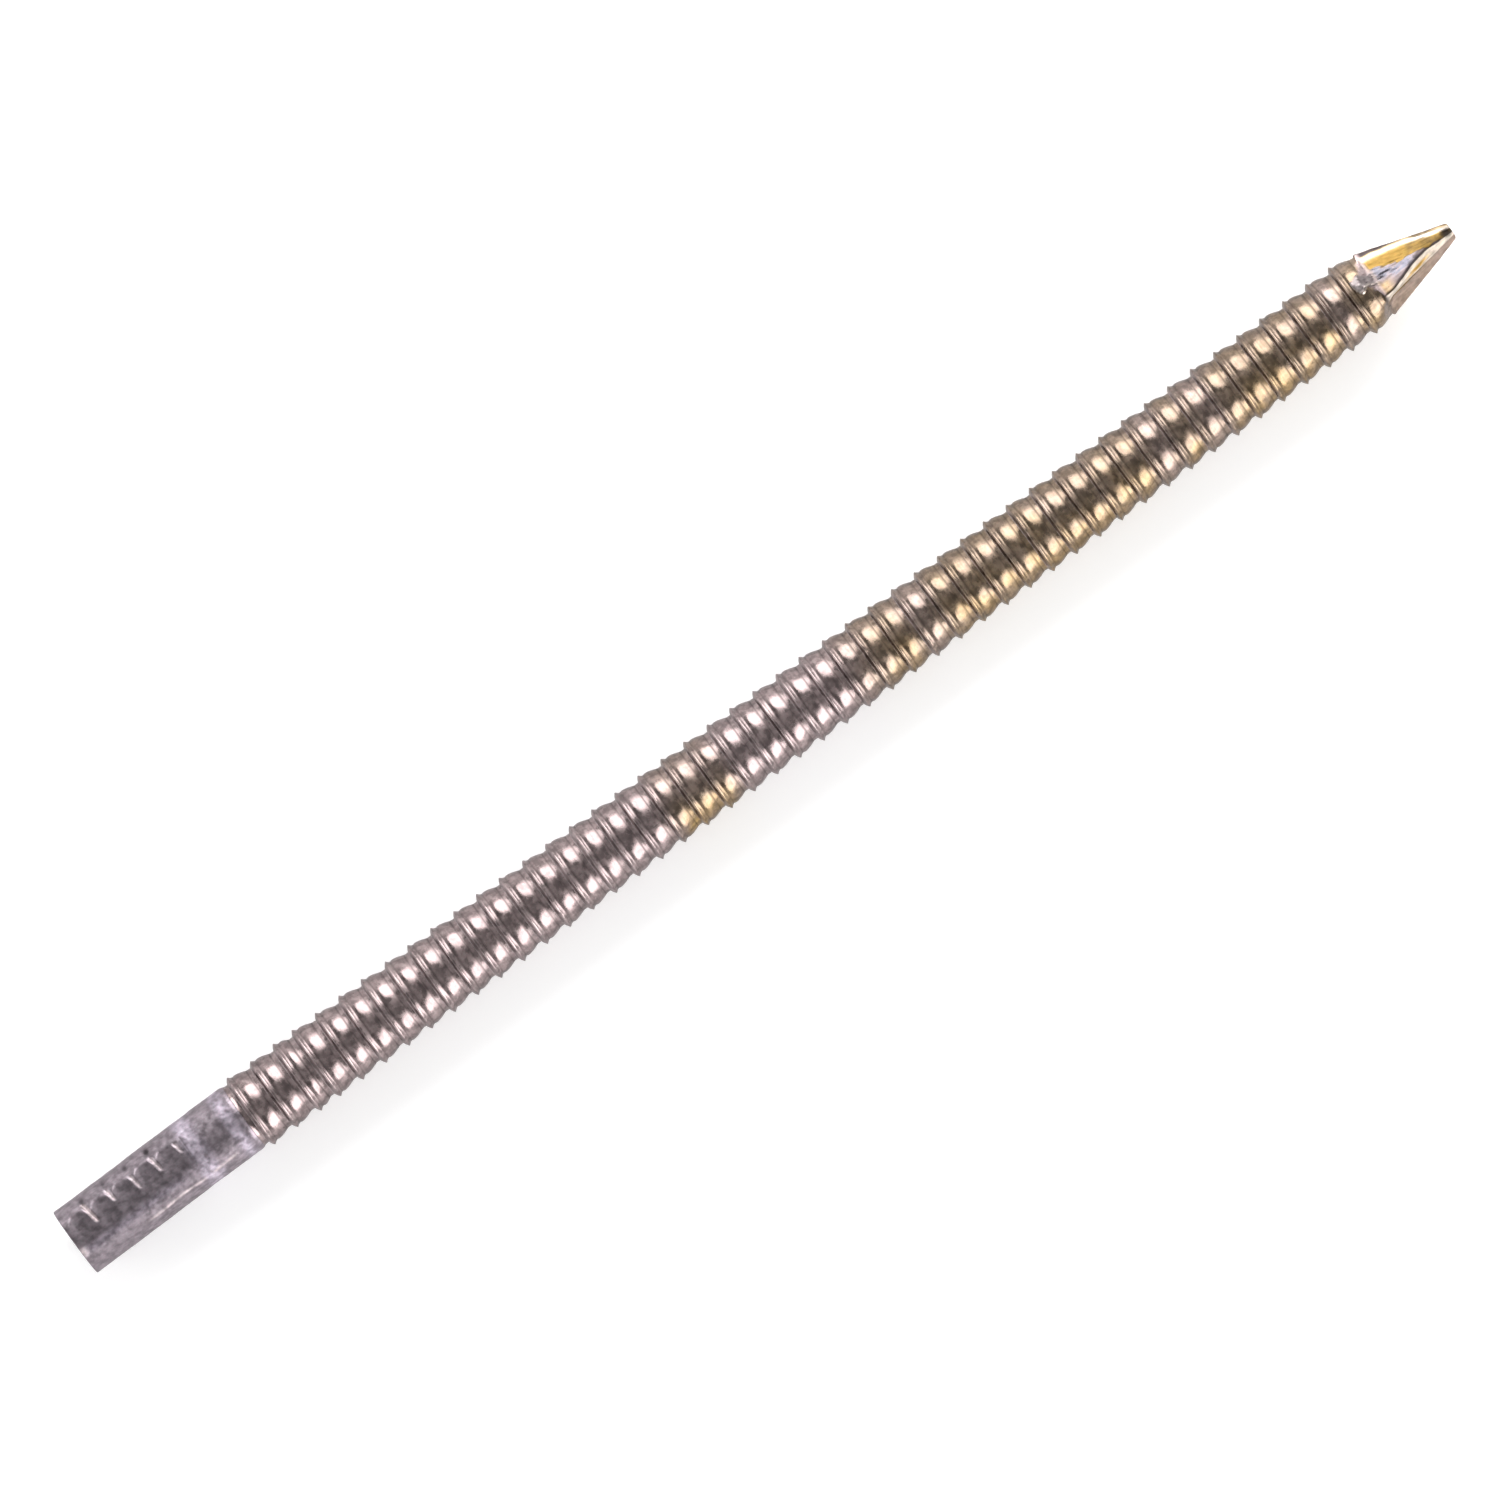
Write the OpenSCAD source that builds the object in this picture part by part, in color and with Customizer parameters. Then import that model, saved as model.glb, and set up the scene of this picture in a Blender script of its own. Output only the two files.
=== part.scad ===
// Ring-shank nail, lying along +X: driven face at the origin, point at +X.
// The nail is one length of cold-drawn steel wire. Each module below is the stretch of
// wire that one tool shapes, a closed solid of its own, and neighbours meet face to face.
// Angles around the nail are turned from +Z about +X, as rotate([angle, 0, 0]) turns them.

/* [Wire] */
// Length from the driven face to the tip
nail_length = 76.2; // [60:0.1:90]
// Diameter of the drawn wire
shank_d = 3.327; // [3.3:0.001:3.38]
// Length held in the heading machine's gripper jaws
gripped_length = 6.85; // [6.6:0.05:8]
// Length from the driven face to where the rings begin
plain_length = 9.4; // [8.5:0.1:20]

/* [Gripper marks] */
// Number of marks on each side of the wire
mark_count = 5; // [1:1:5]
// Distance from the driven face to the first mark
mark_first = 1.38; // [0.6:0.01:1.5]
// Spacing of the marks along the wire
mark_pitch = 1.215; // [0.6:0.005:1.25]
// Depth of a mark at its middle
mark_depth = 0.13; // [0.05:0.01:0.2]
// Width of a mark at the wire's surface
mark_width = 0.22; // [0.1:0.01:0.3]
// Angle around the nail to the middle of the marks on the first side
mark_angle = -32; // [-180:1:180]

/* [Rings] */
// Spacing of the rings, crest to crest
ring_pitch = 1.275; // [1.15:0.005:1.5]
// Diameter over the crests
crest_d = 3.72; // [3.6:0.01:3.9]
// Diameter at the bottom of the groove behind each crest
root_d = 3.16; // [3:0.01:3.2]
// Diameter over the rounded land between two crests
land_d = 3.47; // [3.44:0.01:3.55]
// Diameter in the crease between a crest and its land
crease_d = 3.43; // [3.3:0.01:3.43]
// Distance from the end of the plain length to the first crest
first_crest = 0.4; // [0.3:0.01:0.6]
// Number of crests before the one short space, where the rolling dies overlap
rings_before_lap = 3; // [1:1:10]
// How much shorter that one space is
lap_loss = 0.21; // [0:0.01:0.25]

/* [Point] */
// Length of the four flat facets
facet_length = 4.05; // [3.5:0.05:5]
// Slope of a facet against the nail's axis
facet_slope = 12.75; // [11:0.25:13.5]
// Length of the steep shoulder where a facet runs out into the rings
shoulder_length = 0.7; // [0.5:0.01:0.8]
// Width of the blunt tip across two opposite facets
tip_width = 0.57; // [0.3:0.01:0.6]
// Angle around the nail to the middle of the first facet
facet_angle = -24; // [-180:1:180]

/* [Hidden] */
$fn = 96;

shank_r = shank_d / 2;
crest_r = crest_d / 2;
root_r = root_d / 2;
land_r = land_d / 2;
crease_r = crease_d / 2;

// Stations along one space, from its crest: half the crest's flat, the crease and the land's top
crest_half = 0.02;
crease_at = 0.22;
land_at = 0.40;
// Stations before the next crest: the foot of its steep flank, and the end of the land's slope
flank_run = 0.10;
groove_run = 0.38;
land_steps = 6;

facet_start = nail_length - facet_length - shoulder_length;
first_x = plain_length + first_crest;
lap_end = first_x + rings_before_lap * ring_pitch - lap_loss;
ring_count = rings_before_lap + 1 + floor((facet_start - ring_pitch / 2 - lap_end) / ring_pitch);

// The facets' cutting outline: its radius at the tip and at the shoulder, how far outside the
// wire the shoulder starts, and how far and wide the outline runs past the metal that it cuts
tip_r = tip_width / 2;
shoulder_r = tip_r + facet_length * tan(facet_slope);
shoulder_lift = 0.04;
run_past = 1;
cut_width = 4 * crest_d;

// Distance from the driven face to crest i, counted from 0
function crest_x(i) = first_x + i * ring_pitch - (i < rings_before_lap ? 0 : lap_loss);

// Radius of the land's slope, from its top at t = 0 to the groove at t = 1
function slope_r(t) = root_r + (land_r - root_r) * (1 + cos(180 * t)) / 2;

// The ringed length meets the point in the crease behind the last crest that is left whole
last_x = crest_x(ring_count - 1);
seam_x = last_x + crease_at;

// Outline of the crest at x, down to the crease behind it
function crest_outline(x) = [
    [x - crest_half, crest_r],
    [x + crest_half, crest_r],
    [x + crease_at, crease_r]
];

// Outline of the land behind the crest at x and the groove up to the foot of the next flank
function land_outline(x, space) = [
    for (k = [0 : land_steps])
        let (t = k / land_steps)
        [x + land_at + t * (space - groove_run - land_at), slope_r(t)],
    [x + space - flank_run, root_r]
];

// Turns an outline of [distance along the nail, radius] points, closed on the axis, about +X
module turned(outline) {
    start_x = outline[0][0];
    end_x = outline[len(outline) - 1][0];
    closed = concat([[start_x, 0]], outline, [[end_x, 0]]);
    rotate([0, 90, 0])
        rotate_extrude()
            polygon([for (p = closed) [p[1], p[0]]]);
}

// One V-shaped mark, straight across the top of the wire, at a distance x
module gripper_mark(x) {
    half_w = mark_width / 2;
    translate([x, 0, shank_r - mark_depth])
        rotate([90, 0, 0])
            linear_extrude(height = shank_d, center = true)
                polygon([[0, 0], [2 * half_w, 2 * mark_depth], [-2 * half_w, 2 * mark_depth]]);
}

// What two opposite facets and their shoulders leave between them
module between_facets() {
    rotate([90, 0, 0])
        linear_extrude(height = cut_width, center = true)
            polygon([
                [facet_start - run_past, crest_r + run_past],
                [facet_start, shank_r + shoulder_lift],
                [facet_start + shoulder_length, shoulder_r],
                [nail_length, tip_r],
                [nail_length, -tip_r],
                [facet_start + shoulder_length, -shoulder_r],
                [facet_start, -shank_r - shoulder_lift],
                [facet_start - run_past, -crest_r - run_past]
            ]);
}

// Plain round wire with a flat driven face and a row of gripper marks on two sides
module gripped_end() {
    color("#A39BA2")
        difference() {
            turned([[0, shank_r], [gripped_length, shank_r]]);
            for (side = [0, 180], k = [0 : mark_count - 1])
                rotate([mark_angle + side, 0, 0])
                    gripper_mark(mark_first + k * mark_pitch);
        }
}

// Plain round wire between the gripper jaws and the rings
module plain_neck() {
    color("#9C93A0")
        turned([[gripped_length, shank_r], [plain_length, shank_r]]);
}

// Barbed rings, steep towards the driven end so that they resist being pulled out
module ring_shank() {
    spaces = [
        for (i = [0 : ring_count - 2])
            each concat(
                crest_outline(crest_x(i)),
                land_outline(crest_x(i), crest_x(i + 1) - crest_x(i))
            )
    ];
    color("#A0958A")
        turned(concat(
            [[plain_length, shank_r], [first_x - flank_run, shank_r]],
            spaces,
            crest_outline(last_x)
        ));
}

// Last land, groove and crest of the rings, cut on four sides to a blunt pyramid
module diamond_point() {
    end_crest = last_x + ring_pitch;
    color("#C9B27A")
        intersection() {
            turned(concat(
                [[seam_x, crease_r]],
                land_outline(last_x, ring_pitch),
                [[end_crest - crest_half, crest_r], [end_crest + crest_half, crest_r]],
                [[end_crest + crease_at, shank_r], [nail_length + run_past, shank_r]]
            ));
            rotate([facet_angle, 0, 0]) between_facets();
            rotate([facet_angle + 90, 0, 0]) between_facets();
        }
}

gripped_end();
plain_neck();
ring_shank();
diamond_point();
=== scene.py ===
import bpy
import math
import numpy as np
from mathutils import Matrix, Vector


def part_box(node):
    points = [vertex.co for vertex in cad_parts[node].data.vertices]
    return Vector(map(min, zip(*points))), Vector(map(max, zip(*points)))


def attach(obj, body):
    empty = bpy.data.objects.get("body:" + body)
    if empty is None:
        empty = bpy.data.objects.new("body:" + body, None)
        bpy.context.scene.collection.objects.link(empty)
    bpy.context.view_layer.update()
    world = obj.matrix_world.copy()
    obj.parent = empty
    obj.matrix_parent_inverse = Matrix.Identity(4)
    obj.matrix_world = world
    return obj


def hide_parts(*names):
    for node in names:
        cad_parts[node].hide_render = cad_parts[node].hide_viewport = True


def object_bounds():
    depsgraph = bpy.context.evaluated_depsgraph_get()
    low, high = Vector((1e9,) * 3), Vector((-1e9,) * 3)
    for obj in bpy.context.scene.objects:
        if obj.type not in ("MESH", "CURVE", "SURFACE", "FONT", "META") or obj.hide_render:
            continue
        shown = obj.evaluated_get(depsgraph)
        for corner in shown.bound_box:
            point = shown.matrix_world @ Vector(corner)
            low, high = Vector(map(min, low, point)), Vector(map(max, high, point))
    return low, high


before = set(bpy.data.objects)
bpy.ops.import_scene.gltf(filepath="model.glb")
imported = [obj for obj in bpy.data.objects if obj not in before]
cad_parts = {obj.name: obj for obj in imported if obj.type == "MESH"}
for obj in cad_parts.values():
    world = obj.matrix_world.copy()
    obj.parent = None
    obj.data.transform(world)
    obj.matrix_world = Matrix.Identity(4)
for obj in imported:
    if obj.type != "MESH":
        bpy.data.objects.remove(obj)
cad_low, cad_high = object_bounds()

# Ring-shank nail along +X. Shapes are worked out in millimetres and turned into metres when
# a mesh is made. Angles run round the nail from +Z (the top), and -90 degrees is +Y. On the
# nail, upper and above mean nearer +Y, lower and below nearer -Y, as the camera sees them.
MM = 0.001

# ---------------------------------------------------------------- sizes
# Ends of the four stretches, and the radius of the plain wire
GRIPPED_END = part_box("gripped_end")[1].x / MM
NECK_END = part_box("plain_neck")[1].x / MM
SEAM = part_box("ring_shank")[1].x / MM
LENGTH = cad_high.x / MM
SHANK_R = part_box("plain_neck")[1].z / MM

# Ring crests: evenly spaced but for the short space where the rolled pattern laps
RING_PITCH = 1.275
FIRST_CREST = NECK_END + 0.40
RINGS_BEFORE_LAP = 3
LAP_LOSS = 0.21
RING_COUNT = 1 + round((SEAM - FIRST_CREST) / RING_PITCH)

# Radii of a ring: its crest, its groove, the land behind the crest, and the crease between
# crest and land
CREST_R = cad_high.y / MM - 0.010
ROOT_R = 1.575
LAND_R = 1.737
CREASE_R = 1.705

# Distances from a crest: back to the foot of its flank, back to the end of the land before it,
# on to its crease, on to its land, and to the front and back of its own rounded edge
FLANK_RUN = 0.17
GROOVE_RUN = 0.40
CREASE_AT = 0.20
LAND_AT = 0.34
CREST_FRONT = 0.012
CREST_BACK = 0.014

# The slope down to the first groove: its lengths before and after the end of the neck
LEAD_BEFORE = 0.20
LEAD_RUN = 0.15

# Gripper marks: each has its upper end and its lower end in degrees and its strength, and a
# nick above it
MARK_FIRST = 1.36
MARK_PITCH = 1.215
MARKS = ((-46, -8, 1.0), (-40, -18, 0.9), (-33, -9, 0.65), (-38, -12, 1.0), (-33, -15, 0.6))
NICK_SIZES = (0.9, 0.75, 0.95, 1.3, 0.5)
MARK_DEPTH = 0.10
NICK_DEPTH = 0.06

# Gripper flats, one on top and the same turned to the far side: their lower edge and half
# width in degrees, and how far along the nail they end
GRIPPED_SIDES = (0.0, 180.0)
PAD_EDGE = 15.0
PAD_HALF = 27.0
PADS_END = 6.35

# Point: the middle of the broad facet, with the other three a quarter turn apart, and the
# slope and hollows of the facets, the hollows as shares of their distance from the axis
FACET_ANGLE = -24.0
FACET_SLOPE = math.tan(math.radians(12.75))
FACET_HOLLOW = 0.19
BROAD_HOLLOW = 0.02
CORNER_SHARPNESS = 36.0
RIDGE_TURN = 23.0

# Point: the steep shoulder where the facets start, the blunt tip and its rounded end, and the
# details on the point
SHOULDER_START = LENGTH - 4.74
SHOULDER_RUN = 0.68
TIP_HALF = 0.285
END_RUN = 0.1
FLASH_HEIGHT = 0.035
PIT_DEPTH = 0.12
SMEAR_START = SEAM - 0.02
SMEAR_HEIGHT = 0.04

# Vertices round the nail, rows along it, and the edges that stay sharp, in degrees
PLAIN_COLUMNS = 240
RING_COLUMNS = 96
POINT_COLUMNS = 360
FACE_ROWS = 18
GRIPPED_ROWS = 200
NECK_ROWS = 78
LEAD_ROWS = 6
POINT_ROWS = 110
SHARP_ANGLE = 75

# Brightness of the sky at heights from the horizon (0) to overhead (1)
SKY_STOPS = ((0.05, 1.14), (0.60, 0.33), (0.80, 0.37), (0.97, 0.63))

# Every ring has a random source of its own. All else draws from rng, so its calls keep their order.
RING_SEED = 500
rng = np.random.default_rng(20)


# ---------------------------------------------------------------- shape helpers
def ease(t):
    """0 to 1 with flat ends."""
    t = np.clip(t, 0.0, 1.0)
    return t * t * (3 - 2 * t)


def hump(distance, width):
    """A smooth bump of height 1 at distance 0."""
    return np.exp(-(distance / width) ** 2)


def turn_from(angles, centre):
    """Angles measured from a centre, in degrees from -180 to 180."""
    return (angles - centre + 180.0) % 360.0 - 180.0


def wobble(angles, size, lowest=2, highest=9, source=rng):
    """A smooth random wave round the nail, about size high."""
    wave = np.zeros_like(angles)
    for order in range(lowest, highest + 1):
        phase = source.uniform(0, 360)
        wave += source.normal() / order * np.cos(np.radians(order * angles + phase))
    return size * wave * 1.5


def ripple(x, angles, across, along, size, terms=24):
    """Smooth random relief over the surface: patches of about across by along mm, size deep."""
    relief = np.zeros(np.broadcast(x, angles).shape)
    for _ in range(terms):
        order = round(abs(rng.normal()) * 2 * math.pi * SHANK_R / (2 * across))
        pace = rng.normal() * 180.0 / along
        phase = rng.uniform(0, 360)
        relief = relief + np.cos(np.radians(order * angles + pace * x + phase))
    return relief * size / math.sqrt(terms)


def sway(x):
    """How far the nail's centre line strays towards -Y, in mm."""
    return -0.075 * ease(1 - x / 8.5) - 0.085 * ease((x - LENGTH + 4.2) / 3.6)


def lathe(name, x, r, **shares):
    """A closed mesh from grids of distance along the nail and radius, one row a station.
    Each of shares is a grid of 0 to 1, kept on the mesh under its name for the materials."""
    rows, count = r.shape
    angles = np.radians(np.arange(count) * 360.0 / count)
    points = np.empty((rows, count, 3))
    points[:, :, 0] = x
    points[:, :, 1] = -r * np.sin(angles) + sway(x)
    points[:, :, 2] = r * np.cos(angles)
    first = np.arange(rows - 1)[:, None] * count + np.arange(count)[None, :]
    second = np.arange(rows - 1)[:, None] * count + (np.arange(count)[None, :] + 1) % count
    sides = np.stack([first, second, second + count, first + count], axis=-1).reshape(-1, 4)
    start = list(range(count))[::-1]
    end = list(range((rows - 1) * count, rows * count))
    mesh = bpy.data.meshes.new(name)
    mesh.from_pydata((points.reshape(-1, 3) * MM).tolist(), [], sides.tolist() + [start, end])
    mesh.shade_smooth()
    mesh.set_sharp_from_angle(angle=math.radians(SHARP_ANGLE))
    for share, grid in shares.items():
        attribute = mesh.attributes.new(share, "FLOAT", "POINT")
        values = np.clip(np.broadcast_to(grid, r.shape), 0, 1)
        attribute.data.foreach_set("value", values.astype(np.float32).ravel())
    piece = bpy.data.objects.new(name, mesh)
    bpy.context.scene.collection.objects.link(piece)
    return piece


def all_round(count):
    """The angles of a row of vertices, in degrees."""
    return np.arange(count) * 360.0 / count


# ---------------------------------------------------------------- plain length
def pad_half(x):
    """Half the angle that the gripper's flat takes up: a row of pads, narrower at each mark."""
    place = (x - MARK_FIRST) / MARK_PITCH
    pads = 1 - np.cos(math.pi * place) ** 4
    last_mark = MARK_FIRST + (len(MARKS) - 1) * MARK_PITCH
    pads = np.where(x < last_mark + 0.3, pads, 1.0)
    return PAD_HALF - 6.0 * (1 - pads)


def pad_angle(x, angles, side):
    """Angles measured from the middle of the flat on one side of the nail."""
    return turn_from(angles, PAD_EDGE - pad_half(x) + side)


def pads_radius(x, angles):
    """The wire with the gripper's shallow, slightly crowned flat pressed into two sides."""
    radius = np.full(np.broadcast(x, angles).shape, SHANK_R)
    for side in GRIPPED_SIDES:
        half = pad_half(x)
        away = pad_angle(x, angles, side)
        chord = SHANK_R * np.cos(np.radians(half)) / np.cos(np.radians(np.clip(away, -60, 60)))
        crown = 0.03 * np.clip(1 - (away / half) ** 2, 0, 1) + 0.2 * ease((x - PADS_END) / 0.7)
        sunk = SHANK_R - chord - crown
        radius = radius - (sunk + np.sqrt(sunk ** 2 + 0.015 ** 2)) / 2
    return radius


def mark_reach(x, angles, half_width):
    """How much of the gripper marks is at each place: slanted lines between the pads."""
    slant_per_degree = 0.0045
    reach = np.zeros(np.broadcast(x, angles).shape)
    for side in GRIPPED_SIDES:
        for k, (high, low, strength) in enumerate(MARKS):
            away = turn_from(angles, (high + low) / 2 + side)
            below_top = away + (high + low) / 2
            middle = MARK_FIRST + k * MARK_PITCH + slant_per_degree * (below_top + 27)
            span = ease(((low - high) / 2 - np.abs(away)) / 9.0 + 0.5)
            reach = reach + strength * hump(x - middle, half_width) * span
    return reach


def nicks(x, angles):
    """The nick above each mark. The colour darkens it as painted shade."""
    found = np.zeros(np.broadcast(x, angles).shape)
    for side in GRIPPED_SIDES:
        for k, size in enumerate(NICK_SIZES):
            near = hump(turn_from(angles, -56.0 + side), 11.0)
            found = found + size * near * hump(x - MARK_FIRST + 0.05 - k * MARK_PITCH, 0.18)
    return found


def scuff_bands(x, angles):
    """Two patchy bands where the wire has been turned in the rolling dies."""
    bands = hump(x - 6.88, 0.36) + 0.9 * hump(x - 8.80, 0.26)
    return bands * np.clip(0.75 + ripple(x, angles, 0.35, 0.35, 0.30, 40), 0.1, 1.2)


def below_pads(x, angles):
    """The bluish strip just under the flat's lower edge, and the slightly raised line further down,
    whose paleness is a painted highlight.
    """
    strip = hump(turn_from(angles, 21.0), 7.0) * ease((7.0 - x) / 2.5)
    drift = 45.0 + 1.2 * np.sin(x * 2.1)
    line = hump(turn_from(angles, drift), 2.6) * ease((x - 2.8) / 1.2) * ease((8.4 - x) / 0.5)
    line = line * (1 - hump(x - 6.68, 0.35)) * (0.75 + 0.25 * np.sin(x * 7.3))
    return strip, line


def butt_burr(x, angles):
    """The sliver of metal turned out at the edge of the driven face."""
    return hump(turn_from(angles, 20.0), 7.0) * hump(x - 0.10, 0.18)


def lead_in(x):
    """How far the wire has sunk on its slope down to the groove before the first ring."""
    t = np.clip((x - NECK_END + LEAD_BEFORE) / (LEAD_BEFORE + LEAD_RUN), 0, 1)
    return (SHANK_R - ROOT_R) * (1 - np.cos(math.pi * t)) / 2


def plain_radius(x, angles, scuffs, line):
    """Radius of the plain length, marks, scuffs and all. Its unevenness ends before the seam."""
    radius = pads_radius(x, angles)
    radius = radius - MARK_DEPTH * mark_reach(x, angles, 0.085)
    radius = radius - NICK_DEPTH * nicks(x, angles)
    radius = radius - 0.010 * scuffs + 0.012 * line
    radius = radius + ripple(x, angles, 0.7, 0.9, 0.005)
    radius = radius + ripple(x, angles, 0.22, 0.25, 0.0028, 60)
    radius = np.minimum(radius + 0.06 * butt_burr(x, angles), SHANK_R + 0.05)
    return SHANK_R + (radius - SHANK_R) * ease((NECK_END - x) / 0.3) - lead_in(x)


def build_plain_length():
    """The gripped end and the neck, made as one grid and parted at the CAD's seam. The first
    rows are circles on the driven face."""
    angles = all_round(PLAIN_COLUMNS)[None, :]
    gripped_x = np.linspace(0.03, GRIPPED_END, GRIPPED_ROWS)
    neck_x = np.linspace(GRIPPED_END, NECK_END, NECK_ROWS)
    face = np.linspace(0.08, 0.985, FACE_ROWS)[:, None]
    x = np.vstack([0 * face, gripped_x[:, None], neck_x[:, None]])
    scuffs = scuff_bands(x, angles)
    strip, line = below_pads(x, angles)
    r = plain_radius(x, angles, scuffs, line)
    r[:FACE_ROWS] = face * r[FACE_ROWS]
    dents = np.abs(ripple(face * 2, angles, 0.9, 0.8, 0.5)) * ease((1 - face) * 8)
    on_face = x < 0.001
    x = x + np.vstack([0.004 + 0.02 * dents, np.zeros_like(r[FACE_ROWS:])])
    flat = np.zeros_like(r)
    rim = np.zeros_like(r)
    for side in GRIPPED_SIDES:
        away = pad_angle(x, angles, side)
        half = pad_half(x)
        flat = flat + ease((half - np.abs(away)) / 5.0 + 0.2) * ease((PADS_END + 0.45 - x) / 0.3)
        rim = rim + hump(away + half + 2.0, 3.2) * ease((PADS_END + 0.3 - x) / 0.5)
    marks = mark_reach(x, angles, 0.075)
    # Painted shade along the lower side of the plain length.
    lower_side_shade = hump(turn_from(angles, 46.0), 22.0) * ease((6.8 - x) / 0.8)
    # Paleness: on the marks' walls, along the flat's rim and on the line below the pads it is a
    # painted highlight; on the scuffs and the burr it is wear.
    rubbed = 1.1 * marks + 0.02 * rim + 1.1 * line + 0.5 * scuffs + 1.2 * butt_burr(x, angles)
    # Darkening: on the flat, in the nicks and along the lower side it is painted shade.
    grime = 0.46 * flat * (1 - marks) + 0.75 * nicks(x, angles) + 0.30 * lower_side_shade * (1 - line)
    shares = {
        "rubbed": rubbed * ~on_face,
        "grime": grime * ~on_face,
        "blue": 0.9 * scuffs + 0.15 * strip,
        # The line's gold tint is the colour of its painted highlight.
        "gold": 0.12 * line + 0.6 * marks * hump(x - MARK_FIRST, 0.4),
    }
    rows = FACE_ROWS + GRIPPED_ROWS
    before = {share: grid[:rows] for share, grid in shares.items()}
    after = {share: grid[rows:] for share, grid in shares.items()}
    gripped = lathe("gripped_end_skin", x[:rows], r[:rows], **before)
    neck = lathe("plain_neck_skin", x[rows:], r[rows:], **after)
    return gripped, neck


# ---------------------------------------------------------------- rings
def crest_at(i):
    """Distance from the driven face to crest i."""
    return FIRST_CREST + i * RING_PITCH - (LAP_LOSS if i >= RINGS_BEFORE_LAP else 0.0)


def space_outline(space):
    """Stations of one ring: its flank, its crest, the drop to the crease, the land behind it and
    the start of the next groove. Each row has its distance from the crest, its radius, its share
    of the crest's unevenness and how pale it is made: burnished wear on the crest, a painted
    highlight on the flank and at the groove's foot. space is the distance to the next crest."""
    rows = [(-FLANK_RUN - 0.03, ROOT_R, 0.0, 0.15)]
    rise = CREST_R - ROOT_R
    # The flank and the groove's foot are made pale as a painted highlight; the crest's paleness is
    # burnished wear.
    for t in np.linspace(0, 1, 5):
        flank = -FLANK_RUN + t ** 1.4 * (FLANK_RUN - CREST_FRONT)
        rows.append((flank, ROOT_R + rise * t, t, 3.3 - 2.7 * t))
    rows.append((CREST_BACK, CREST_R - 0.001, 1.0, 0.4))
    for t in (0.3, 0.65, 1.0):
        drop = CREASE_R + (CREST_R - CREASE_R) * (1 - t) ** 1.4
        rows.append((CREST_BACK + t * (CREASE_AT - CREST_BACK), drop, 1 - t, 0.4 - 0.2 * t))
    rows.append((CREASE_AT + 0.035, CREASE_R + 0.013, 0.0, 0.0))
    rows.append((CREASE_AT + 0.08, LAND_R - 0.005, 0.0, 0.0))
    for t in np.linspace(0, 1, 8):
        slope = LAND_R - (LAND_R - ROOT_R - 0.008) * t ** 1.5
        rows.append((LAND_AT + t * (space - GROOVE_RUN - LAND_AT), slope, 0.0, 0.0))
    rows.append((space - GROOVE_RUN + 0.05, ROOT_R, 0.0, 0.0))
    return rows


def groove_shade(offset, space):
    """Painted shade where a land runs down into the next groove, and in the crease."""
    width = 0.055
    groove = 0.7 * hump(offset - (space - GROOVE_RUN - 0.02), width)
    return groove + 0.48 * hump(offset - CREASE_AT + 0.01, width)


def ring_grid(first, last, angles):
    """Grids of x and r for rings first to last, each uneven in its own way, with how pale each
    row is made, as wear on the crest and painted highlight on the flank, and how much painted
    shade it holds."""
    x_rows, r_rows, rubbed_rows, grime_rows = [], [], [], []
    for i in range(first, last + 1):
        crest = crest_at(i)
        chance = np.random.default_rng(RING_SEED + i)
        lean = wobble(angles, 0.011, 1, 5, chance)
        height = wobble(angles, 0.010, 2, 14, chance) - chance.uniform(0.0, 0.016)
        height = np.minimum(height, 0.008)
        land = wobble(angles, 0.005, 2, 7, chance)
        pale_scale = chance.uniform(0.6, 1.3)
        for _ in range(chance.poisson(1.6)):
            nick = hump(turn_from(angles, chance.uniform(0, 360)), chance.uniform(2.5, 6.0))
            height = height - chance.uniform(0.01, 0.05) * nick
            lean = lean + chance.uniform(0.0, 0.03) * nick
        space = crest_at(i + 1) - crest
        for offset, radius, share, rubbed in space_outline(space):
            x_rows.append(crest + offset + lean * (0.3 + 0.7 * share))
            r_rows.append(radius + height * share + land * (1 - share))
            rubbed_rows.append(rubbed * pale_scale)
            # Painted shade in the groove and the crease.
            grime_rows.append(groove_shade(offset, space))
    return np.array(x_rows), np.array(r_rows), np.array(rubbed_rows), np.array(grime_rows)


def goldness(x, angles):
    """How far the yellow lacquer colours the steel: a patch near the middle, then most of the
    way to the point, a little stronger on the lower side, with some barer rings."""
    lower = ease((np.sin(np.radians(angles)) + 0.5) / 1.5)
    patch = ease(1.6 * hump(x - 34.3, 1.5)) * (0.25 + 0.5 * lower)
    far = ease((x - 41.5) / 4.0) * (0.52 + 0.18 * lower)
    for barer, width in ((47.0, 0.8), (60.0, 0.7), (62.6, 0.8), (70.0, 0.5)):
        far = far * (1 - 0.5 * hump(x - barer, width))
    return np.clip(patch + far, 0, 1)


def build_rings():
    """The ringed length, from the slope at the end of the plain wire to the crease behind its
    last crest."""
    angles = all_round(RING_COLUMNS)
    x, r, rubbed, grime = ring_grid(0, RING_COUNT - 1, angles)
    end = np.argmin(np.abs(x.mean(axis=1) - SEAM)) + 1
    t = np.linspace(0, 1, LEAD_ROWS)[:, None] + 0 * angles
    lead_x = NECK_END + LEAD_RUN * t
    clean = np.zeros(LEAD_ROWS)
    x = np.vstack([lead_x, x[:end]])
    r = np.vstack([SHANK_R - lead_in(lead_x), r[:end]])
    rubbed = np.concatenate([clean, rubbed[:end]])[:, None]
    grime = np.concatenate([clean, grime[:end]])[:, None]
    gold = goldness(x, angles)
    rubbed = 0.30 * rubbed * (1 - 0.7 * gold)
    return lathe("ring_shank_skin", x, r, rubbed=rubbed, grime=grime, gold=gold)


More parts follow.
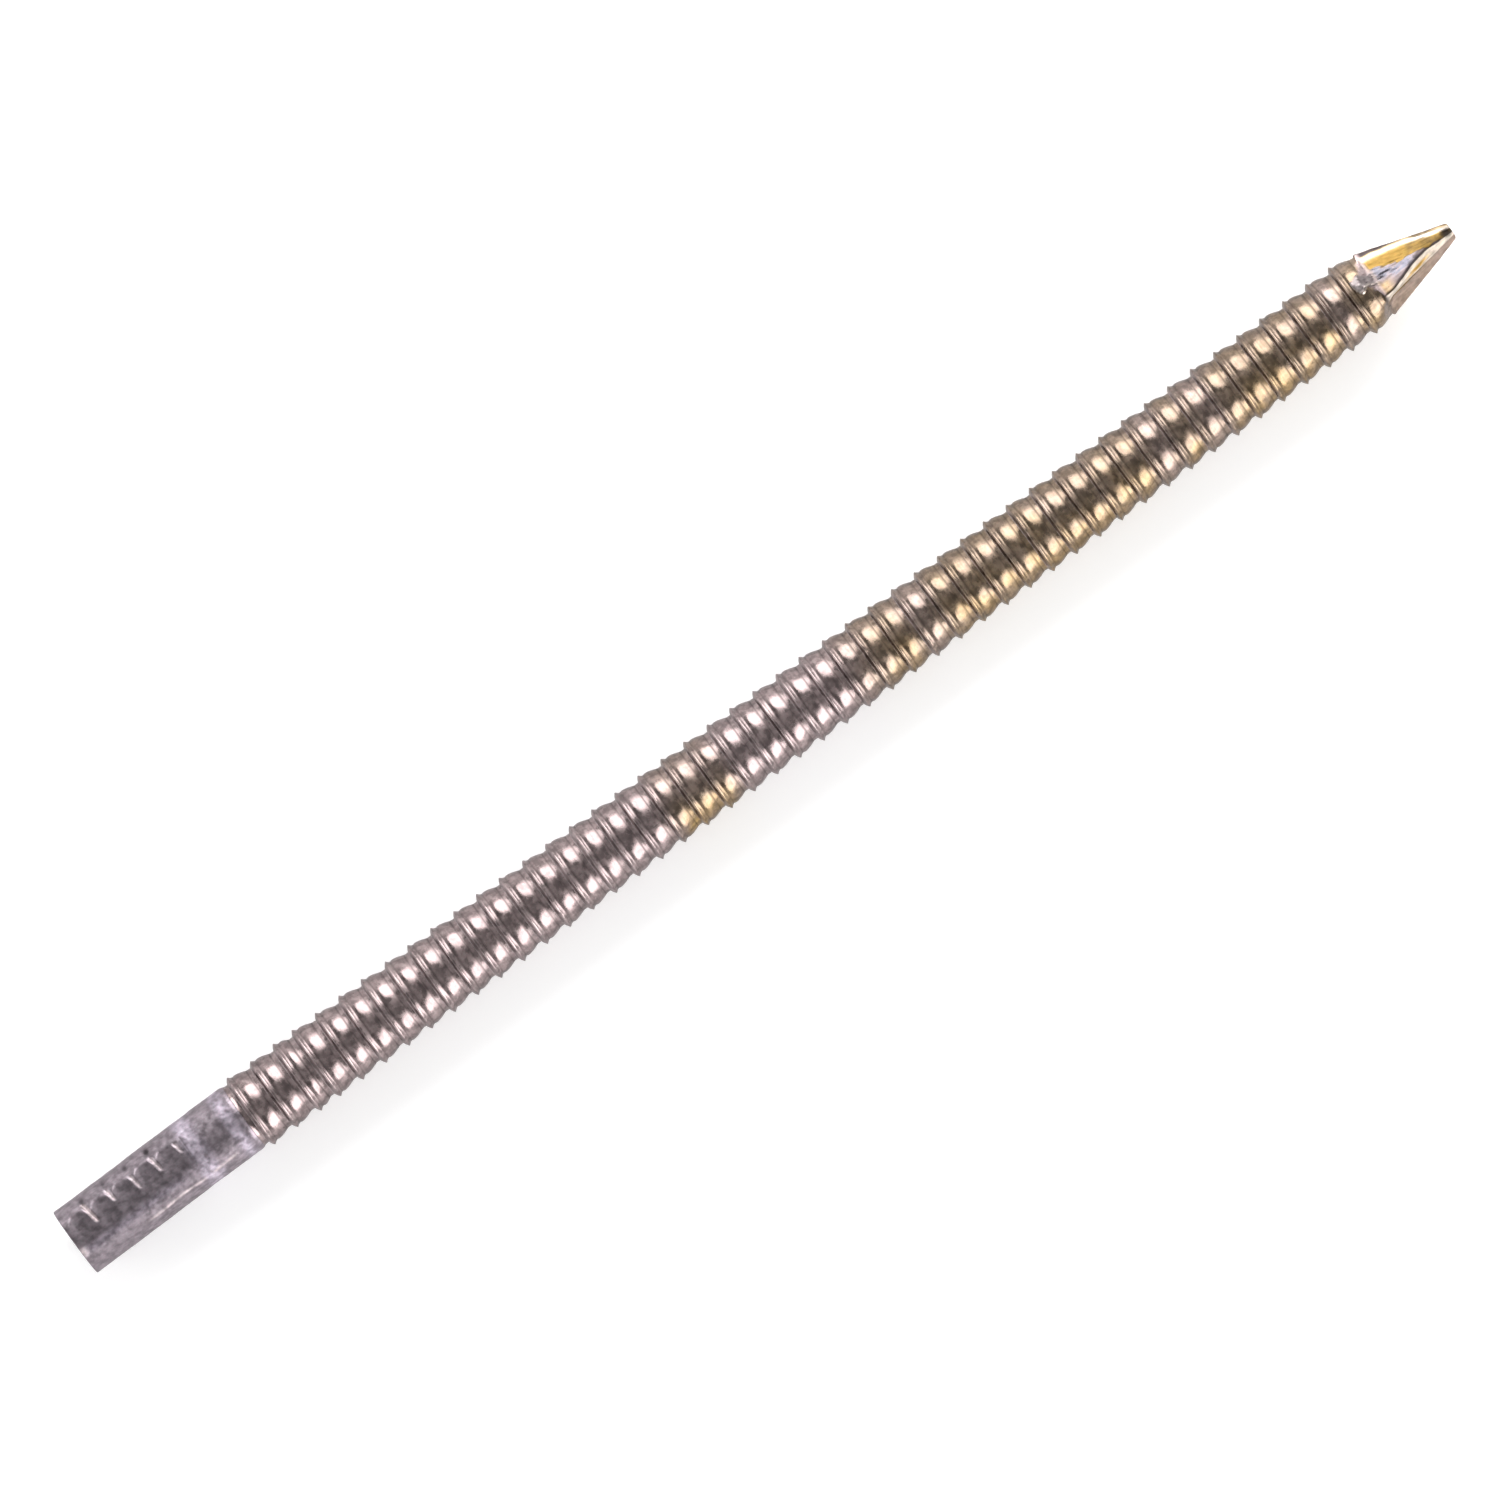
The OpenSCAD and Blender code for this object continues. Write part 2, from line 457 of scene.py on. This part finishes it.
# ---------------------------------------------------------------- point
def facet_distance(x):
    """Distance of a flat facet from the axis, with the steep shoulder at its start."""
    flat = TIP_HALF + (LENGTH - x) * FACET_SLOPE
    shoulder_end = SHOULDER_START + SHOULDER_RUN
    shoulder_low = TIP_HALF + (LENGTH - shoulder_end) * FACET_SLOPE
    t = np.clip((shoulder_end - x) / SHOULDER_RUN, 0, None)
    steep = shoulder_low + (SHANK_R + 0.02 - shoulder_low) * t ** 1.3
    return np.where(x < shoulder_end, steep, flat)


def pinched_angles(x, angles):
    """Angles round the point as the facets have them: the ridge between the two upper facets
    starts a little towards -Y and turns towards +Y on its way to the tip."""
    along = ease((x - SHOULDER_START - 0.84) / 2.6)
    return angles + (RIDGE_TURN * along - 5.0) * hump(turn_from(angles, 12.0), 42.0)


def gold_border(x):
    """Where the gold on the broad facet gives way to bare steel, in degrees from its middle."""
    return 17.3 * (x - SHOULDER_START) - 24.0


def pinch(x, r, turned):
    """The radius once the four facets are pinched in, and how much of each place is facet. A
    shallow trough runs down each facet, on the broad one between its gold and the ridge. The
    facets meet each other and the wire in corners that are slightly rounded."""
    power = -CORNER_SHARPNESS
    most_lean = 0.25
    reach = facet_distance(x)
    faded_in = ease((x - SHOULDER_START - 0.17) / 0.8)
    worn = np.full_like(r, 1e-30)
    for k in range(4):
        away = np.radians(turn_from(turned, FACET_ANGLE + 90 * k))
        lean = np.maximum(np.cos(away), most_lean)
        trough, width, depth = 0.15, 0.5, FACET_HOLLOW * faded_in
        if k == 0:
            trough = np.tan(np.radians((gold_border(x) + 45) / 2))
            width = 0.28
            depth = BROAD_HOLLOW * faded_in * ease((LENGTH - 1.2 - x) / 1.2)
        hollow = depth * hump(np.clip(np.tan(away), -1, 1) - trough, width) * reach
        worn = worn + ((reach - hollow) / lean) ** power * (np.cos(away) > most_lean)
    faceted = worn ** (1 / power)
    on_facet = ease((r - faceted) / 0.04)
    return (r ** power + faceted ** power) ** (1 / power), on_facet


def broad_facet(x, across, gap):
    """Shares of bare steel, blue-grey streak, dark outline (painted shade), bright band (painted
    highlight) and cream corner on the broad facet, where across counts degrees from its middle and
    gap mm from the nearest corner."""
    edge = gold_border(x) + ripple(x, across, 0.3, 0.6, 4.0, 40)
    bare = ease((across - edge) / 8.0 + 0.5) * ease((x - SHOULDER_START - 0.5) / 0.4)
    cream = bare * ease((across - 20.0) / 10.0) * ease((LENGTH - 3.2 - x) / 0.6)
    streak = hump(across - edge - 14.0, 17.0) * ease((LENGTH - 1.7 - x) / 0.8)
    streak = np.clip(streak * (1.35 + ripple(x, across, 0.15, 0.5, 0.55, 60)), 0, 1)
    streak = bare * streak * (1 - cream)
    near = (across < 0) * ease((x - SHOULDER_START - 0.4) / 0.2)
    width = np.clip(0.21 - 0.1 * (x - SHOULDER_START - 0.5), 0.02, 0.21)
    # Painted shade: a dark outline along the upper corner.
    outline = near * ease((width - gap) / 0.05 + 0.5)
    # Painted highlight: a bright band just inside the outline.
    band = near * hump(gap - width - 0.12, 0.09)
    return bare, streak, outline, band, cream


def lower_facet(x, low, patches):
    """Shares of a pale strip near the ridge that is a painted highlight, gold and brown on the
    facet below the ridge, where low counts degrees down from it."""
    gold = hump(low - 22.0, 11.0) * hump(x - LENGTH + 2.3, 0.9) * (0.8 + 0.5 * patches)
    brown = hump(low - 49.0, 6.0) * hump(x - LENGTH + 3.1, 1.0)
    # Painted highlight: the strip nearest the ridge is made pale.
    bright = ease((48.0 - low) / 12.0) * (1 - gold) * (1 - brown) * (0.8 + 0.2 * patches)
    return bright, gold, brown


def smear(x, angles):
    """A tongue of metal dragged back over the last land by the dies that pinched the point: how
    much of it and of its raised edge, which the colour paints pale as a highlight, is at each
    place."""
    ahead = x - SMEAR_START
    low = 0.5 + 3.0 * np.cos(ahead * 8.5 - 2.55) - 8.0 * (1 - ease(ahead / 0.3))
    high = -29.0 + 3.0 * np.sin(ahead * 9.0)
    start = SMEAR_START + 0.04 + 0.05 * np.cos(np.radians(angles * 9))
    away = turn_from(angles, 0.0)
    body = ease((x - start) / 0.10) * ease((low - away) / 4.0) * ease((away - high) / 6.0)
    lip = body * (1.2 * hump(low - away - 3.0, 2.4) + 0.6 * hump(x - start - 0.06, 0.04))
    end = ease((SHOULDER_START + 0.75 - x) / 0.3)
    return body * end, np.clip(lip, 0, 1) * end


def point_blank(angles):
    """What the point is pinched from: the last land, groove and ring, and plain wire to the
    tip. Gives grids of x, r and the painted shade that goes with the rings."""
    x, r, _, grime = ring_grid(RING_COUNT - 1, RING_COUNT, angles)
    middles = x.mean(axis=1, keepdims=True)
    first = np.argmin(np.abs(middles - SEAM))
    last = np.argmin(np.abs(middles - crest_at(RING_COUNT) - 0.2))
    x, r, grime, middles = x[first:last], r[first:last], grime[first:last], middles[first:last]
    x = middles + (x - middles) * ease((LENGTH - 4.0 - middles) / 0.3)
    wire_x = np.linspace(x[-1].mean() + 0.03, LENGTH - END_RUN, POINT_ROWS)[:, None]
    zeros = np.zeros((POINT_ROWS, POINT_COLUMNS))
    grime = np.vstack([grime[:, None] + 0 * x, zeros])
    return np.vstack([x, wire_x + zeros]), np.vstack([r, SHANK_R + zeros]), grime


def blunt_end(x, r, shares):
    """The grids of x, r and shares with the rounded end of the tip added."""
    ahead = (0.35, 0.65, 0.85, 1, 1, 1)
    size = (0.97, 0.9, 0.8, 0.66, 0.4, 0.12)
    end_x = [np.full(POINT_COLUMNS, LENGTH - END_RUN + END_RUN * t) for t in ahead]
    end_r = [r[-1] * share for share in size]
    longer = {name: np.vstack([grid] + [grid[-1:]] * len(ahead)) for name, grid in shares.items()}
    return np.vstack([x] + end_x), np.vstack([r] + end_r), longer


def build_point():
    """The last land, groove and ring, pinched on four sides to a blunt pyramid with thin flash
    on its corners, and the shares of wear, colour, painted highlight and painted shade that go
    with it."""
    angles = all_round(POINT_COLUMNS)
    x, r, ring_grime = point_blank(angles)

    turned = pinched_angles(x, angles)
    drift = wobble(angles, 0.05, 2, 12) * hump(x - SHOULDER_START, 0.6)
    r, on_facet = pinch(x + drift, r, turned)
    started = ease((x - SHOULDER_START - 0.5) / 0.3)
    corner = turn_from(turned * 4, (FACET_ANGLE + 45) * 4) / 4
    gap = np.radians(corner) * r + ripple(x, angles, 2.0, 0.8, 0.018)
    flash = FLASH_HEIGHT * hump(gap, 0.055)
    r = r + (flash + ripple(x, angles, 0.25, 0.6, 0.006, 50)) * started
    degrees_per_radian = 57.3
    pit_across = turn_from(angles, -12.0) * r / degrees_per_radian
    # The pit is also darkened in the colour below, as painted shade.
    pit = hump(x - LENGTH + 0.27, 0.20) * hump(pit_across, 0.18)
    r = r - PIT_DEPTH * pit
    body, lip = smear(x, angles)
    r = r + (SMEAR_HEIGHT * body + 0.025 * lip) * (1 - 0.6 * on_facet)
    r = r + 0.005 * body * ripple(x, angles, 0.18, 0.18, 1.0, 50)

    patches = ease(0.5 + ripple(x, angles, 0.3, 0.7, 0.9, 40))
    across = turn_from(turned, FACET_ANGLE)
    broad = on_facet * (np.abs(across) < 45)
    bare, streak, outline, band, cream = broad_facet(x, across, gap)
    low = turn_from(turned, FACET_ANGLE + 45)
    lower = on_facet * (low >= 0) * (low < 90)
    bright, gold, brown = lower_facet(x, low, patches)
    others = on_facet - broad - lower
    # Painted shade: a dark line along the ridge below the broad facet.
    ridge = hump(gap + 0.02, 0.05) * hump(low, 30.0)
    edge = hump(gap - 0.14, 0.08) * (others + lower)
    # Painted shade: the step where the lower facets start.
    step = hump(x - SHOULDER_START - 0.50, 0.10) * hump(turn_from(angles, 32.0), 26.0)
    # Painted shade: the broad facet's colour is darkened where it would mirror the softbox, less
    # where it is bare or cream.
    plain_grime = 0.70 * (1 - bare) + 0.55 * bare - 0.35 * cream
    broad_grime = np.maximum(0.85 * outline, plain_grime * (1 - band) * (1 - streak))
    # The smear's body is pale worn metal; the paleness on its raised edge is a painted highlight.
    smear_wear_and_highlight = 0.12 * body + 0.38 * lip
    facet_gold = (
        started * broad * (1 - bare + 0.65 * cream) * (1 - outline)
        + lower * (gold + 0.8 * brown + 0.4)
        + others * (0.2 + 0.75 * patches)
    )
    shares = {
        "rubbed": smear_wear_and_highlight + started * (broad * band + lower * bright + 0.7 * edge),
        # Darkening: the rings' grooves, the pit, the step, the ridge line, the outline and the
        # broad facet get painted shade; the smear's body and the lower facet's brown and gold are
        # darker in their own colour.
        "grime": ring_grime * (1 - on_facet) + 1.5 * pit + 0.8 * step + 0.3 * body * (1 - lip)
        + lower * (0.8 * brown + 0.4 * gold) + started * (ridge + broad * broad_grime),
        "blue": broad * streak + 0.55 * body * (1 - lip),
        "gold": (1 - body) * (1 - 0.6 * pit) * (goldness(x, angles) * (1 - on_facet) + facet_gold),
        "dull": started * (lower + others),
    }
    x, r, shares = blunt_end(x, r, shares)
    return lathe("diamond_point_skin", x, r, **shares)


# ---------------------------------------------------------------- materials
def node(tree, kind, sockets, **settings):
    """A shader node with its settings, its sockets filled in or linked."""
    made = tree.nodes.new("ShaderNode" + kind)
    for name, value in settings.items():
        setattr(made, name, value)
    for socket, value in sockets.items():
        if isinstance(value, bpy.types.NodeSocket):
            tree.links.new(value, made.inputs[socket])
        else:
            made.inputs[socket].default_value = value
    return made


def maths(tree, operation, first, second):
    """The result of a sum, product or the like of two values."""
    return node(tree, "Math", {0: first, 1: second}, operation=operation).outputs[0]


def mixed(tree, share, first, second, blend="MIX"):
    """Two colours mixed by a share. A Mix node's colours are its inputs 6 and 7 and output 2."""
    sockets = {"Factor": share, 6: first, 7: second}
    return node(tree, "Mix", sockets, data_type="RGBA", blend_type=blend).outputs[2]


def stretched(tree, value, low, high, to_low, to_high):
    """A value between low and high turned into one between to_low and to_high."""
    sockets = {"Value": value, 1: low, 2: high, 3: to_low, 4: to_high}
    return node(tree, "MapRange", sockets, interpolation_type="SMOOTHSTEP").outputs[0]


def noise(tree, place, scale, detail):
    """Soft random spots, scale to a mm."""
    sockets = {"Vector": place, "Scale": scale, "Detail": detail}
    return node(tree, "TexNoise", sockets).outputs["Fac"]


def share_of(tree, name):
    """A share that lathe kept on the mesh."""
    return node(tree, "Attribute", {}, attribute_name=name).outputs["Fac"]


def nail_metal(name, steel, pale, blue, roughness, lines, relief, edge):
    """Steel that is lacquered, blued, made pale, darkened and dull where the mesh's shares say so,
    with fine lines left by the dies. The paleness is wear in some places and painted highlight in
    others, and the darkening is grime in some places and painted shade in others. steel, pale and
    blue are colours, lines is how closely the lines are packed along X, Y and Z, relief is their
    depth in mm, and edge tints glancing reflections."""
    material = bpy.data.materials.new(name)
    material.use_nodes = True
    tree = material.node_tree
    shader = tree.nodes["Principled BSDF"]
    here = node(tree, "TexCoord", {}).outputs["Object"]
    in_mm = node(tree, "Mapping", {"Vector": here, "Scale": (1000, 1000, 1000)}).outputs[0]
    along_lines = node(tree, "Mapping", {"Vector": in_mm, "Scale": lines}).outputs[0]
    patches = noise(tree, in_mm, 0.9, 3.0)
    mottle = noise(tree, in_mm, 3.2, 4.0)
    grain = noise(tree, in_mm, 11.0, 3.0)
    scratches = noise(tree, along_lines, 1.0, 4.0)

    share = share_of(tree, "gold")
    gold = maths(tree, "MULTIPLY", share, stretched(tree, patches, 0.3, 0.7, 0.84, 1.14))
    lacquer = node(tree, "ValToRGB", {"Fac": gold})
    ramp = lacquer.color_ramp
    ramp.elements[0].color = (*steel, 1)
    ramp.elements[1].color = (0.60, 0.39, 0.11, 1)
    bronze = ramp.elements.new(0.55)
    bronze.color = (0.208, 0.16, 0.115, 1)
    straw = ramp.elements.new(0.8)
    straw.color = (0.24, 0.17, 0.085, 1)
    colour = lacquer.outputs["Color"]
    # The pale share holds wear and painted highlights; the dark share holds grime and painted
    # shade.
    rubbed = share_of(tree, "rubbed")
    grime = share_of(tree, "grime")
    colour = mixed(tree, share_of(tree, "blue"), colour, (*blue, 1))
    colour = mixed(tree, rubbed, colour, (*pale, 1))
    pinker = stretched(tree, grain, 0.35, 0.65, 0.0, 0.30)
    pink = mixed(tree, 1.0, colour, (1.18, 0.93, 1.02, 1), "MULTIPLY")
    colour = mixed(tree, pinker, colour, pink)
    shade = stretched(tree, mottle, 0.3, 0.7, 0.72, 1.22)
    shade = maths(tree, "MULTIPLY", shade, stretched(tree, scratches, 0.3, 0.7, 0.88, 1.10))
    shade = maths(tree, "MULTIPLY", shade, stretched(tree, grime, 0.0, 1.0, 1.0, 0.22))
    shaded = node(tree, "VectorMath", {0: colour, "Scale": shade}, operation="SCALE").outputs[0]
    tree.links.new(shaded, shader.inputs["Base Color"])

    rough = stretched(tree, mottle, 0.3, 0.7, roughness - 0.05, roughness + 0.08)
    rough = maths(tree, "ADD", rough, stretched(tree, grime, 0.0, 1.0, 0.0, 0.30))
    rough = maths(tree, "ADD", rough, stretched(tree, rubbed, 0.0, 1.0, 0.0, 0.22))
    rough = maths(tree, "ADD", rough, maths(tree, "MULTIPLY", share_of(tree, "dull"), 0.35))
    tree.links.new(rough, shader.inputs["Roughness"])

    height = maths(tree, "ADD", scratches, maths(tree, "MULTIPLY", mottle, 0.7))
    height = maths(tree, "ADD", height, maths(tree, "MULTIPLY", grain, 0.35))
    bump = node(tree, "Bump", {"Height": height, "Distance": relief * MM})
    tree.links.new(bump.outputs[0], shader.inputs["Normal"])
    shader.inputs["Metallic"].default_value = 1.0
    shader.inputs["Specular Tint"].default_value = (edge, edge, edge, 1)
    return material


# ---------------------------------------------------------------- floor, camera, lights
def build_floor():
    """A plain pale floor under the nail's lowest crest, with a slight glow of its own."""
    half = 3.0
    corners = [(-half, -half), (half, -half), (half, half), (-half, half)]
    mesh = bpy.data.meshes.new("floor")
    mesh.from_pydata([(x, y, cad_low.z) for x, y in corners], [], [(0, 1, 2, 3)])
    floor = bpy.data.objects.new("floor", mesh)
    bpy.context.scene.collection.objects.link(floor)
    material = bpy.data.materials.new("floor")
    material.use_nodes = True
    shader = material.node_tree.nodes["Principled BSDF"]
    shader.inputs["Base Color"].default_value = (0.96, 0.96, 0.96, 1)
    shader.inputs["Roughness"].default_value = 0.9
    shader.inputs["Emission Color"].default_value = (1, 1, 1, 1)
    shader.inputs["Emission Strength"].default_value = 0.18
    mesh.materials.append(material)


def build_camera():
    """Straight down on the nail, which runs up to the right across the frame."""
    lean = math.radians(36.35)
    frame_width = 0.0669
    distance = 0.9
    nail_right, nail_up = 0.00055, 0.00067
    right = np.array([math.cos(lean), -math.sin(lean)])
    up = np.array([math.sin(lean), math.cos(lean)])
    middle = np.array([cad_high.x / 2, 0.0]) - nail_right * right - nail_up * up
    data = bpy.data.cameras.new("camera")
    data.sensor_width = 36
    data.lens = data.sensor_width * distance / frame_width
    camera = bpy.data.objects.new("camera", data)
    camera.location = (middle[0], middle[1], distance)
    camera.rotation_euler = (0, 0, -lean)
    bpy.context.scene.collection.objects.link(camera)
    bpy.context.scene.camera = camera


def build_lights():
    """Two oval softboxes, one on each side above the nail and beyond its point, so that they
    shine on what slopes towards the point, and two low ones behind the driven end that pick out
    the rings' flanks and clear the shadows off the floor."""
    reach = 0.35
    length, width = 0.45, 0.33
    middle = Vector((cad_high.x / 2, 0, 0))
    # Name, degrees from overhead towards -Y, degrees ahead towards the point, watts
    boxes = (
        ("upper", -60, 30, 2.25),
        ("lower", 72, 30, 2.2),
        ("rear_upper", -60, -56, 0.9),
        ("rear_lower", 64, -56, 0.75),
    )
    for name, turned, ahead, power in boxes:
        across = math.radians(turned)
        towards = Vector((math.tan(math.radians(ahead)), -math.sin(across), math.cos(across)))
        away = towards.normalized()
        along = (Vector((1, 0, 0)) - away * away.x).normalized()
        data = bpy.data.lights.new(name + "_softbox", "AREA")
        data.shape = "ELLIPSE"
        data.size = length
        data.size_y = width
        data.energy = power
        lamp = bpy.data.objects.new(name + "_softbox", data)
        lamp.location = middle + towards * reach
        lamp.rotation_euler = Matrix((along, away.cross(along), away)).transposed().to_euler()
        bpy.context.scene.collection.objects.link(lamp)


def build_sky():
    """A soft sky: pale near the horizon, darkest halfway up and lighter again overhead."""
    world = bpy.data.worlds.new("studio")
    world.use_nodes = True
    nodes, links = world.node_tree.nodes, world.node_tree.links
    coordinates = nodes.new("ShaderNodeTexCoord")
    parts = nodes.new("ShaderNodeSeparateXYZ")
    ramp = nodes.new("ShaderNodeValToRGB")
    for height, _ in SKY_STOPS[1:-1]:
        ramp.color_ramp.elements.new(height)
    for stop, (height, grey) in zip(ramp.color_ramp.elements, SKY_STOPS):
        stop.position = height
        stop.color = (grey, grey, grey, 1)
    links.new(coordinates.outputs["Generated"], parts.inputs[0])
    links.new(parts.outputs["Z"], ramp.inputs["Fac"])
    links.new(ramp.outputs["Color"], nodes["Background"].inputs["Color"])
    bpy.context.scene.world = world
    bpy.context.scene.view_settings.view_transform = "Standard"


# ---------------------------------------------------------------- build
build_camera()
build_lights()
build_sky()
build_floor()

gripped, neck = build_plain_length()
rings = build_rings()
point = build_point()

drawn = nail_metal(
    "drawn_steel",
    steel=(0.226, 0.200, 0.219),
    pale=(0.56, 0.50, 0.51),
    blue=(0.34, 0.32, 0.43),
    roughness=0.42,
    lines=(2, 6, 6),
    relief=0.006,
    edge=0.8,
)
rolled = nail_metal(
    "rolled_steel",
    steel=(0.238, 0.194, 0.19),
    pale=(0.36, 0.31, 0.31),
    blue=(0.22, 0.22, 0.26),
    roughness=0.25,
    lines=(9, 0.8, 0.8),
    relief=0.004,
    edge=0.7,
)
lacquered = nail_metal(
    "lacquered_point",
    steel=(0.238, 0.194, 0.19),
    pale=(0.62, 0.57, 0.49),
    blue=(0.105, 0.105, 0.122),
    roughness=0.24,
    lines=(0.9, 7, 7),
    relief=0.006,
    edge=0.8,
)

for piece, node_name, slot, material in (
    (gripped, "gripped_end", "drawn_steel", drawn),
    (neck, "plain_neck", "drawn_steel", drawn),
    (rings, "ring_shank", "rolled_steel", rolled),
    (point, "diamond_point", "lacquered_point", lacquered),
):
    piece.data.materials.append(material)
    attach(piece, "root")
    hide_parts(node_name)
